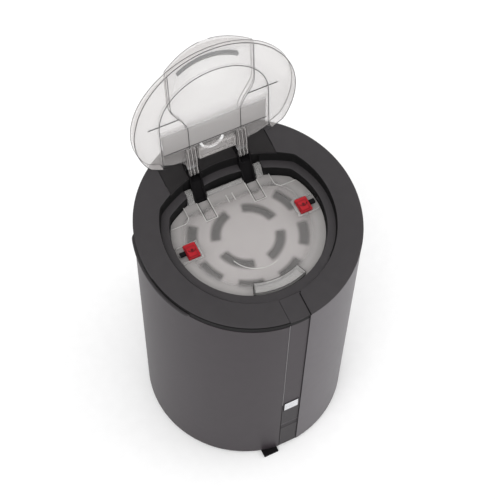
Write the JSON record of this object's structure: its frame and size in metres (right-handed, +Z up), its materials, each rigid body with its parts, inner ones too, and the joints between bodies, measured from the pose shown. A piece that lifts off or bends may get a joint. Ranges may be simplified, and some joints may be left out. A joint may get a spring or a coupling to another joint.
{
  "type": "canister filter",
  "caption": "Upright drum canister filter with an inclined ring top, clear flip-up lid, frosted inner cover with red latches, media baskets and a pump in its base.",
  "frame": {"origin": "centre of the drum at the floor, on the underside of the middle foot", "axes": "+Z up the drum's axis, -Y towards the front spine, +Y towards the hinges and the hose ports, +X to the right seen from the front"},
  "size_m": [0.3031, 0.3455, 0.6607],
  "materials": {
    "drum_plastic": "fine satin, charcoal grey",
    "ring_plastic": "fine grain, dark grey",
    "black_plastic": "satin black",
    "clear_plastic": "clear, polished",
    "frosted_plastic": "frosted, translucent",
    "red_plastic": "satin red",
    "silver_window": "silver, finely patterned",
    "rubber": "matt",
    "tank_plastic": "satin grey",
    "foam_blue": "open-cell foam",
    "foam_dark": "fine dark foam",
    "plate_white": "satin, off-white",
    "ceramic": "porous ceramic pieces",
    "steel": "ground",
    "magnet": "dark, coated"
  },
  "bodies": {
    "casing": {"base_pan": "black_plastic", "base_tab": "black_plastic", "basket_lower": "tank_plastic", "basket_upper": "tank_plastic", "bearing_lower": "ceramic", "bearing_upper": "ceramic", "bio_media": "ceramic", "centre_tube": "tank_plastic", "cover_gasket": "rubber", "diffuser_plate": "plate_white", "foam_coarse": "foam_blue", "foam_fine": "foam_dark", "foot_1": "rubber", "foot_2": "rubber", "foot_3": "rubber", "foot_4": "rubber", "foot_5": "rubber", "front_spine": "drum_plastic", "grip_lip": "ring_plastic", "hinge_bracket_left": "black_plastic", "hinge_bracket_right": "black_plastic", "hinge_panel": "black_plastic", "hinge_pin_left": "steel", "hinge_pin_right": "steel", "inlet_port": "black_plastic", "inner_tank": "tank_plastic", "neck_band": "black_plastic", "outer_shell_left": "drum_plastic", "outer_shell_right": "drum_plastic", "outlet_port": "black_plastic", "power_gland": "rubber", "pump_housing": "black_plastic", "rear_spine": "drum_plastic", "rotor_shaft": "steel", "spine_cap": "ring_plastic", "spine_lower_cover": "drum_plastic", "stator_block": "magnet", "status_window": "silver_window", "top_ring": "ring_plastic", "volute_cover": "tank_plastic"},
    "impeller_body": {"impeller": "black_plastic", "rotor_magnet": "magnet"},
    "lid": {"outer_lid": "clear_plastic", "lid_rib": "clear_plastic", "lid_grip": "frosted_plastic", "lid_rear_bar": "clear_plastic", "lid_arm_left": "clear_plastic", "lid_arm_right": "clear_plastic"},
    "cover": {"inner_cover": "frosted_plastic", "cover_handle": "clear_plastic", "cover_rear_rib": "frosted_plastic", "latch_frame_left": "clear_plastic", "latch_frame_right": "clear_plastic"},
    "latch_left_body": {"latch_left": "red_plastic", "latch_bolt_left": "black_plastic"},
    "latch_right_body": {"latch_right": "red_plastic", "latch_bolt_right": "black_plastic"},
    "inlet_lever_body": {"inlet_lever": "red_plastic"},
    "outlet_lever_body": {"outlet_lever": "red_plastic"}
  },
  "joints": [
    {"name": "lid_hinge", "type": "hinge", "parent": "casing", "child": "lid", "pos_m": [0, 0.098, 0.4492], "axis": [-1, 0, 0], "range_deg": [-101.1, 0]},
    {"name": "cover_hinge", "type": "hinge", "parent": "casing", "child": "cover", "pos_m": [0, 0.078, 0.424], "axis": [-1, 0, 0], "range_deg": [0, 70]},
    {"name": "latch_left_slide", "type": "slide", "parent": "cover", "child": "latch_left_body", "axis": [-1, 0, 0], "range_m": [0, 0.007]},
    {"name": "latch_right_slide", "type": "slide", "parent": "cover", "child": "latch_right_body", "axis": [1, 0, 0], "range_m": [0, 0.007]},
    {"name": "impeller_spin", "type": "hinge", "parent": "casing", "child": "impeller_body", "pos_m": [0, 0, 0.06], "axis": [0, 0, 1], "continuous": true},
    {"name": "inlet_valve_turn", "type": "hinge", "parent": "casing", "child": "inlet_lever_body", "pos_m": [-0.03, 0.164, 0.0778], "axis": [0, 0, 1], "range_deg": [0, 90]},
    {"name": "outlet_valve_turn", "type": "hinge", "parent": "casing", "child": "outlet_lever_body", "pos_m": [0.03, 0.164, 0.0778], "axis": [0, 0, -1], "range_deg": [0, 90]}
  ]
}
